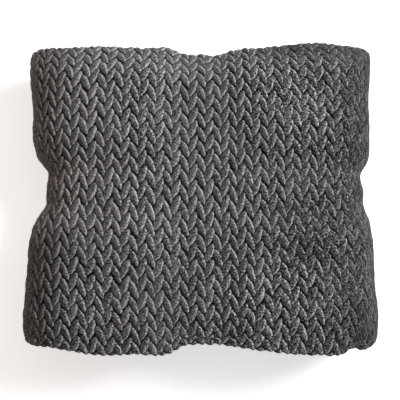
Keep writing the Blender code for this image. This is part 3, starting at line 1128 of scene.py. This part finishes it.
@dataclass
class ThrowPieces:
    """The pieces that show: the cloth with its hems, and the skins of relief on its face.

    Attributes:
        throw: The folded cloth.
        spacing: Distance between the cloth's points on its straight runs.
        roll_steps: Cells of the cloth round a side roll.
        fold_steps: Cells round a tight fold.
        hem: Width of the hems.
        margin: How far inside the cloth's side edges the skins end.
        rise: Length over which the cloth's face drops under the skins.
        sunk: How far it drops there.
        rough: Roughness of the cloth where it shows.
        overlap: How far the skins go on past the last visible fold.
        fold_depth: How far past the turns of the inner folds their relief reaches into the pack.
        hem_bare: How far the inner folds' relief stays off the hem.
        under_roll: How far the relief under the left roll reaches past the roll.
        floor_from: How far past the right roll the underside's relief begins.
        fine: Cells of a skin where it is seen from above, across an arm of a V and along a row.
        fine_roll: Cells of a skin on the far side of a roll.
        coarse: Cells of a skin that only other views show.
        split: Columns on each side of the middle at which the face is cut into skins.
    """

    throw: FoldedThrow
    spacing: float = 11.0 * MM
    roll_steps: int = 14
    fold_steps: int = 8
    hem: float = 8.0 * MM
    margin: float = 6.0 * MM
    rise: float = 3.0 * MM
    sunk: float = 2.2 * MM
    rough: float = 0.12 * MM
    overlap: float = 4.0 * MM
    fold_depth: float = 9.0 * MM
    hem_bare: float = 14.0 * MM
    under_roll: float = 18.0 * MM
    floor_from: float = 6.0 * MM
    fine: tuple[int, int] = (16, 16)
    fine_roll: tuple[int, int] = (7, 16)
    coarse: tuple[int, int] = (6, 8)
    split: int = 6

    def build(self) -> list[bpy.types.Object]:
        """Returns:
            The pieces, with the cloth first.
        """
        skins = self._skins()
        cloth = self._cloth()
        for piece in (cloth, *skins):
            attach(piece, BODY)
            LOG.info("%s: %d faces", piece.name, len(piece.data.polygons))
        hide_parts(NODE)
        return [cloth, *skins]

    def _skins(self) -> list[bpy.types.Object]:
        """Cut the face into stretches and build each one.

        Returns:
            The skins, from the left roll over the top to the underside, and then the inner folds.
        """
        across, along = self.throw.across, self.throw.along
        gauge = ReliefGauge(self.throw)
        low = along.starts[4] - self.throw.tight_turn - self.overlap
        high = along.starts[5] + self.overlap
        fold_low = along.starts[4] + self.fold_depth
        fold_high = along.ends[4] - self.fold_depth
        hem = gauge.column_near(self.hem_bare)
        under = gauge.column_near(across.ends[1] - self.under_roll)
        left = gauge.column_near(0.5 * (across.ends[1] + across.starts[2]))
        middle = gauge.middle_column
        right = gauge.column_near(0.5 * (across.ends[2] + across.starts[3]))
        floor = gauge.column_near(across.starts[3] + self.floor_from)
        end = gauge.column_near(across.length - self.hem_bare)
        near, far = middle - self.split, middle + self.split
        LOG.info("columns %s", (hem, under, left, near, middle, far, right, floor, end))
        skins = (
            Skin("relief_left_roll_under", under, left, low, high, self.fine_roll, tuck_first=True),
            Skin("relief_face_left", left, near, low, high, self.fine),
            Skin("relief_face_middle_left", near, middle, low, high, self.fine),
            Skin("relief_face_middle_right", middle, far, low, high, self.fine),
            Skin("relief_face_right", far, right, low, high, self.fine),
            Skin("relief_right_roll_under", right, floor, low, high, self.fine_roll),
            Skin("relief_underside", floor, end, low, high, self.coarse, tuck_last=True),
            Skin("relief_inner_back_folds", hem, under, fold_high, high, self.coarse, tuck_first=True),
            Skin("relief_inner_front_folds", hem, under, low, fold_low, self.coarse, tuck_first=True),
        )
        return [skin.build(gauge) for skin in skins]

    def _samples(self, path: FoldPath, turn_steps: int) -> np.ndarray:
        """Spread sample lengths over a path: even ones on the runs and in the turns, and one at each hem.

        Args:
            path: The fold path.
            turn_steps: Cells in each turn.

        Returns:
            Rising lengths of the wall.
        """
        lengths = []
        for number, (start, end) in enumerate(zip(path.starts, path.ends)):
            lengths.append(np.linspace(start, end, math.ceil((end - start) / self.spacing) + 1))
            if number < len(path.starts) - 1:
                lengths.append(np.linspace(end, path.starts[number + 1], turn_steps + 1)[1:-1])
        lengths.append(np.array((self.hem, path.length - self.hem)))
        return np.unique(np.concatenate(lengths))

    def _cloth(self) -> bpy.types.Object:
        """Build the cloth: two walls and a rounded rim.

        The face wall lies half the thickness over the cloth's middle, and drops under the skins of relief.
        The rim's one row of points lies on the cloth's middle, part of the half thickness outside the edge.

        Returns:
            The cloth, without its material.
        """
        throw = self.throw
        along = throw.along
        half = 0.5 * throw.thickness
        u = self._samples(throw.across, self.roll_steps)
        v = self._samples(along, self.fold_steps)
        columns, rows = len(u), len(v)
        u_grid, v_grid = np.meshgrid(u, v, indexing="ij")
        covered = smoothstep((v_grid - along.starts[4] + throw.tight_turn) / self.rise)
        covered = covered * smoothstep((along.starts[5] - v_grid) / self.rise)
        covered = covered * smoothstep((u_grid - self.margin) / self.rise)
        covered = covered * smoothstep((throw.across.length - self.margin - u_grid) / self.rise)
        rough = self.rough * np.random.default_rng(5).uniform(-1.0, 1.0, (2, columns, rows))
        face = half - self.sunk * covered + rough[0] * (1.0 - covered)
        face = np.stack(throw.place(u_grid, v_grid, face), axis=-1)
        reverse = np.stack(throw.place(u_grid, v_grid, -half + rough[1]), axis=-1)
        index = np.arange(columns * rows).reshape(columns, rows)
        ring = np.concatenate((index[:-1, 0], index[-1, :-1], index[:0:-1, -1], index[0, :0:-1]))
        outward = 0.6 * half
        du = np.where(u_grid <= u[0], -outward, np.where(u_grid >= u[-1], outward, 0.0)).ravel()[ring]
        dv = np.where(v_grid <= v[0], -outward, np.where(v_grid >= v[-1], outward, 0.0)).ravel()[ring]
        rim = self._beyond(u_grid.ravel()[ring], v_grid.ravel()[ring], du, dv)
        points = np.vstack((face.reshape(-1, 3), reverse.reshape(-1, 3), rim))
        points[:, 2] = np.maximum(points[:, 2], 0.0)
        size = columns * rows
        cells = grid_quads(index)
        rim_index = 2 * size + np.arange(len(ring))
        following = np.roll(ring, -1)
        rim_following = np.roll(rim_index, -1)
        quads = np.vstack((
            cells,
            cells[:, ::-1] + size,
            np.column_stack((following, ring, rim_index, rim_following)),
            np.column_stack((rim_following, rim_index, ring + size, following + size)),
        ))
        flat = np.stack((u_grid, v_grid), axis=-1).reshape(-1, 2)
        flat = np.vstack((flat, flat, flat[ring]))
        none = np.zeros(len(points))
        layers = {"relief": none + 0.7, "tone": none, "nap_and_shade": none, "rim": none, "ruffle": none + 0.4}
        return mesh_object("throw_cloth", points, quads, layers, flat)

    def _beyond(self, u: np.ndarray, v: np.ndarray, du: np.ndarray, dv: np.ndarray) -> np.ndarray:
        """Place points a little outside the cloth's edge, by going on straight from just inside it.

        Args:
            u: Lengths across, on the edge.
            v: Lengths along, on the edge.
            du: How far outside the edge, across.
            dv: How far outside the edge, along.

        Returns:
            Array of (count, 3) in the frame.
        """
        throw = self.throw
        zero = np.zeros_like(u)
        edge = np.stack(throw.place(u, v, zero), axis=-1)
        step = 0.5 * MM
        inner_u = np.stack(throw.place(u - np.sign(du) * step, v, zero), axis=-1)
        inner_v = np.stack(throw.place(u, v - np.sign(dv) * step, zero), axis=-1)
        out_u = (edge - inner_u) * (np.abs(du) / step)[:, None]
        out_v = (edge - inner_v) * (np.abs(dv) / step)[:, None]
        return edge + out_u + out_v


def linear(hex_colour: str) -> tuple[float, float, float, float]:
    """Turn an sRGB hex colour into linear red, green, blue and alpha."""
    parts = (int(hex_colour[start:start + 2], 16) / 255.0 for start in (1, 3, 5))
    return (*(c / 12.92 if c <= 0.04045 else ((c + 0.055) / 1.055) ** 2.4 for c in parts), 1.0)


def add_node(tree: bpy.types.NodeTree, kind: str, inputs: dict | None = None, **settings) -> bpy.types.Node:
    """Add one node to a tree.

    Args:
        tree: The node tree.
        kind: The node's type name.
        inputs: Values or output sockets by input name or number; a socket is linked, a value is set.
        **settings: Properties of the node.

    Returns:
        The new node.
    """
    node = tree.nodes.new(kind)
    for key, value in settings.items():
        setattr(node, key, value)
    for key, value in (inputs or {}).items():
        if isinstance(value, bpy.types.NodeSocket):
            tree.links.new(value, node.inputs[key])
        else:
            node.inputs[key].default_value = value
    return node


@dataclass(frozen=True)
class EmbossedPlush:
    """Polyester plush, raised and then embossed: dull charcoal fibre, with near black painted shade in the
    valleys.

    Attributes:
        valley: Painted shade: colour at the foot of the pile, near black in the valleys.
        body: Colour of the standing pile, seen from its ends.
        brushed: Colour of ruffled pile, which shows its cooler sides.
        painted_side_light: Painted highlight: colour of the right side of a leaf, which faces the key lamp.
        ends: Painted highlight: colour of the thin line along a right rim, brighter still, where the fibres'
            ends face the key lamp.
        sheen: Colour of the soft light on fibre seen along the surface.
        fibre: Size of the fine grain in the pile.
        depth: Depth of that grain.
        ragged: How far the grain breaks up the lines along the rims.
        least_tufts: Strength of the grain where the pile is smooth.
        leaf_shade: Share by which single leaves are lighter or darker.
        side_shade: Share of painted light and shade across a leaf, lighter on the right, towards the key
            lamp.
        darkest: Least share of its colour that the pile keeps in the gaps between tufts.
    """

    valley: str = "#0f0e0e"
    body: str = "#5f5d5b"
    brushed: str = "#585a5f"
    painted_side_light: str = "#73716f"
    ends: str = "#908e8c"
    sheen: str = "#d8d6d4"
    fibre: float = 1.8 * MM
    depth: float = 1.2 * MM
    ragged: float = 0.7
    least_tufts: float = 0.2
    leaf_shade: float = 0.13
    side_shade: float = 0.14
    darkest: float = 0.10

    def material(self) -> bpy.types.Material:
        """Build the material: colour by relief, rims, tufts and brushing, painted light and shade, and the
        pile's grain as bump.

        Returns:
            The material, which reads Object coordinates and the attributes that the skins carry.
        """
        material = bpy.data.materials.new("embossed_plush")
        material.use_nodes = True
        tree = material.node_tree
        shader = tree.nodes["Principled BSDF"]
        where = add_node(tree, "ShaderNodeTexCoord").outputs["Object"]
        relief, tone, nap_and_shade, rim, ruffle = (
            add_node(tree, "ShaderNodeAttribute", attribute_name=name).outputs["Fac"]
            for name in ("relief", "tone", "nap_and_shade", "rim", "ruffle")
        )
        grain = {"Vector": where, "Scale": 1.0 / self.fibre, "Detail": 2.0, "Roughness": 0.6}
        fibres = add_node(tree, "ShaderNodeTexNoise", grain).outputs["Fac"]
        # grey where the pile stands, cooler where it is ruffled
        hue = {"Factor": ruffle, MIX_A: linear(self.body), MIX_B: linear(self.brushed)}
        hue = add_node(tree, "ShaderNodeMix", hue, data_type="RGBA")
        # painted shade: near black in the valleys between the leaves, where the relief is low, on top of
        # their own shadow
        standing = {"Value": relief, "From Min": 0.10, "From Max": 0.70}
        standing = add_node(tree, "ShaderNodeMapRange", standing).outputs["Result"]
        pile = {"Factor": standing, MIX_A: linear(self.valley), MIX_B: hue.outputs[MIX_RESULT]}
        pile = add_node(tree, "ShaderNodeMix", pile, data_type="RGBA")
        # painted highlight: the right sides of the leaves, which face the key lamp, made lighter, with a
        # thin ragged painted highlight along the rim
        ragged = {0: fibres, 1: self.ragged, 2: rim}
        ragged = add_node(tree, "ShaderNodeMath", ragged, operation="MULTIPLY_ADD").outputs[0]
        leaning = {"Value": ragged, "From Min": 0.45, "From Max": 1.05}
        leaning = add_node(tree, "ShaderNodeMapRange", leaning).outputs["Result"]
        rims = {"Factor": leaning, MIX_A: pile.outputs[MIX_RESULT], MIX_B: linear(self.painted_side_light)}
        rims = add_node(tree, "ShaderNodeMix", rims, data_type="RGBA")
        edge = {"Value": ragged, "From Min": 0.80, "From Max": 1.10}
        edge = add_node(tree, "ShaderNodeMapRange", edge).outputs["Result"]
        lines = {"Factor": edge, MIX_A: rims.outputs[MIX_RESULT], MIX_B: linear(self.ends)}
        lines = add_node(tree, "ShaderNodeMix", lines, data_type="RGBA")
        # dark gaps and light ends of the tufts, more of them where the pile is ruffled
        gaps = {"Value": fibres, "From Min": 0.34, "From Max": 0.62, "To Min": -1.6, "To Max": 0.9}
        gaps = add_node(tree, "ShaderNodeMapRange", gaps).outputs["Result"]
        tufts = add_node(tree, "ShaderNodeMath", {0: ruffle, 1: self.least_tufts}, operation="ADD")
        shade = {0: gaps, 1: tufts.outputs[0], 2: 1.0}
        shade = add_node(tree, "ShaderNodeMath", shade, operation="MULTIPLY_ADD").outputs[0]
        # each leaf a little lighter or darker at random, and painted light and shade across it: lighter on
        # its right side, which faces the key lamp, darker on its left
        shade = {0: tone, 1: self.leaf_shade, 2: shade}
        shade = add_node(tree, "ShaderNodeMath", shade, operation="MULTIPLY_ADD").outputs[0]
        shade = {0: rim, 1: self.side_shade, 2: shade}
        shade = add_node(tree, "ShaderNodeMath", shade, operation="MULTIPLY_ADD").outputs[0]
        shade = add_node(tree, "ShaderNodeMath", {0: shade, 1: self.darkest}, operation="MAXIMUM").outputs[0]
        # broad patches of brushed pile, darker or lighter, and painted shade on the two rolls and at the
        # front
        brushing_and_shade = add_node(tree, "ShaderNodeMath", {0: nap_and_shade, 1: 1.0}, operation="ADD").outputs[0]
        shade = add_node(tree, "ShaderNodeMath", {0: shade, 1: brushing_and_shade}, operation="MULTIPLY").outputs[0]
        shaded = {0: lines.outputs[MIX_RESULT], "Scale": shade}
        shaded = add_node(tree, "ShaderNodeVectorMath", shaded, operation="SCALE")
        tree.links.new(shaded.outputs[0], shader.inputs["Base Color"])
        bump = add_node(tree, "ShaderNodeBump", {"Height": fibres, "Strength": 1.0, "Distance": self.depth})
        tree.links.new(bump.outputs["Normal"], shader.inputs["Normal"])
        shader.inputs["Roughness"].default_value = 0.95
        shader.inputs["Specular IOR Level"].default_value = 0.08
        shader.inputs["Sheen Weight"].default_value = 0.15
        shader.inputs["Sheen Roughness"].default_value = 0.5
        shader.inputs["Sheen Tint"].default_value = linear(self.sheen)
        return material


@dataclass(frozen=True)
class LightTable:
    """Opal sheet under the throw, lit from below: white and even, with the faint mottle of its matt face.

    Attributes:
        colour: Colour of the sheet.
        light: Colour of the light under it.
        glow: Strength of that light.
        mottle: Size of the mottle.
    """

    colour: str = "#f4f4f4"
    light: str = "#ffffff"
    glow: float = 0.6
    mottle: float = 50.0 / 3.0 * MM

    def material(self) -> bpy.types.Material:
        """Build the sheet's material.

        Returns:
            The material, for the board alone.
        """
        material = bpy.data.materials.new("opal_light_table")
        material.use_nodes = True
        tree = material.node_tree
        shader = tree.nodes["Principled BSDF"]
        where = add_node(tree, "ShaderNodeTexCoord").outputs["Object"]
        mottle = {"Vector": where, "Scale": 1.0 / self.mottle, "Detail": 2.0}
        mottle = add_node(tree, "ShaderNodeTexNoise", mottle).outputs["Fac"]
        bump = {"Height": mottle, "Strength": 0.02, "Distance": 1.0 * MM}
        tree.links.new(add_node(tree, "ShaderNodeBump", bump).outputs["Normal"], shader.inputs["Normal"])
        shader.inputs["Base Color"].default_value = linear(self.colour)
        shader.inputs["Roughness"].default_value = 0.9
        shader.inputs["Specular IOR Level"].default_value = 0.1
        shader.inputs["Emission Color"].default_value = linear(self.light)
        shader.inputs["Emission Strength"].default_value = self.glow
        return material


@dataclass(frozen=True)
class AreaLamp:
    """A square softbox that faces the middle of the pack.

    Attributes:
        name: Name of the lamp.
        place: Where it stands.
        size: Side of its face.
        power: Its power in watts.
        colour: Colour of its light.
    """

    name: str
    place: tuple[float, float, float]
    size: float
    power: float
    colour: str

    def build(self, target: tuple[float, float, float]) -> bpy.types.Object:
        """Add the lamp, turned to the target.

        Args:
            target: The point that the lamp faces.

        Returns:
            The linked lamp.
        """
        lamp = bpy.data.lights.new(self.name, "AREA")
        lamp.shape = "SQUARE"
        lamp.size = self.size
        lamp.energy = self.power
        lamp.color = linear(self.colour)[:3]
        item = bpy.data.objects.new(self.name, lamp)
        item.location = self.place
        away = item.location - Vector(target)
        item.rotation_euler = away.to_track_quat("Z", "Y").to_euler()
        bpy.context.scene.collection.objects.link(item)
        return item


@dataclass
class Studio:
    """Pale board, soft lights and the camera over the pack.

    Attributes:
        tilt: Angle of the camera from straight down, towards the front of the pack.
        distance: From the camera to its target.
        sensor: Width of the camera's sensor in mm.
        lens: Focal length in mm.
        target: The point that the camera looks at.
        aim: The point that the lamps face.
        sky: Colour of the light from all round.
        sky_light: Strength of that light.
        backdrop: Strength with which the camera sees it past the board.
        board: Half the side of the board.
        board_gap: How far the board lies under the pack.
        lamps: The lamps.
    """

    tilt: float = math.radians(6.5)
    distance: float = 0.90
    sensor: float = 36.0
    lens: float = 81.0
    target: tuple[float, float, float] = (-0.0024, -0.0076, 0.098)
    aim: tuple[float, float, float] = (0.0, 0.0, 0.05)
    sky: str = "#ffffff"
    sky_light: float = 0.15
    backdrop: float = 0.93
    board: float = 2.0
    board_gap: float = 0.2 * MM
    lamps: tuple[AreaLamp, ...] = (
        AreaLamp("key_right", (1.20, 0.62, 1.25), 0.75, 40.0, "#fbfbff"),
        AreaLamp("top_fill", (0.1, 0.6, 1.8), 1.6, 7.0, "#fffdf8"),
        AreaLamp("warm_left", (-1.35, 0.1, 0.45), 0.9, 3.0, "#ff9a5a"),
    )

    def build(self) -> None:
        """Add the board, the lamps, the sky light and the camera."""
        self._board()
        for lamp in self.lamps:
            lamp.build(self.aim)
        self._sky()
        self._camera()
        bpy.context.scene.view_settings.view_transform = "Standard"

    def _board(self) -> None:
        """Add the board that the pack lies on, as one flat grid."""
        reach = np.linspace(-self.board, self.board, 5)
        x, y = np.meshgrid(reach, reach, indexing="ij")
        points = np.stack((x, y, np.full_like(x, -self.board_gap)), axis=-1)
        board = grid_object("studio_board", points, {}, np.stack((x, y), axis=-1))
        board.data.materials.append(LightTable().material())

    def _sky(self) -> None:
        """Add the faint light from all round, which the camera sees as a pale backdrop."""
        world = bpy.data.worlds.new("studio")
        world.use_nodes = True
        tree = world.node_tree
        background = tree.nodes["Background"]
        background.inputs["Color"].default_value = linear(self.sky)
        seen = add_node(tree, "ShaderNodeLightPath").outputs["Is Camera Ray"]
        strength = {"Value": seen, "To Min": self.sky_light, "To Max": self.backdrop}
        strength = add_node(tree, "ShaderNodeMapRange", strength).outputs["Result"]
        tree.links.new(strength, background.inputs["Strength"])
        bpy.context.scene.world = world

    def _camera(self) -> None:
        """Add the camera, tilted from straight down and its distance away from its target."""
        camera = bpy.data.cameras.new("camera")
        camera.lens = self.lens
        camera.sensor_width = self.sensor
        item = bpy.data.objects.new("camera", camera)
        x, y, z = self.target
        item.location = (x, y - self.distance * math.sin(self.tilt), z + self.distance * math.cos(self.tilt))
        item.rotation_euler = (self.tilt, 0.0, 0.0)
        bpy.context.scene.collection.objects.link(item)
        bpy.context.scene.camera = item


def main() -> None:
    """Build the throw and its studio, and report each piece."""
    logging.basicConfig(level=logging.INFO, format="%(name)s: %(message)s")
    throw = FoldedThrow()
    LOG.info("middle %s, wall %.3f x %.3f m", throw.middle, throw.across.length, throw.along.length)
    pieces = ThrowPieces(throw).build()
    plush = EmbossedPlush().material()
    for piece in pieces:
        piece.data.materials.append(plush)
    Studio().build()


if __name__ == "__main__":
    main()
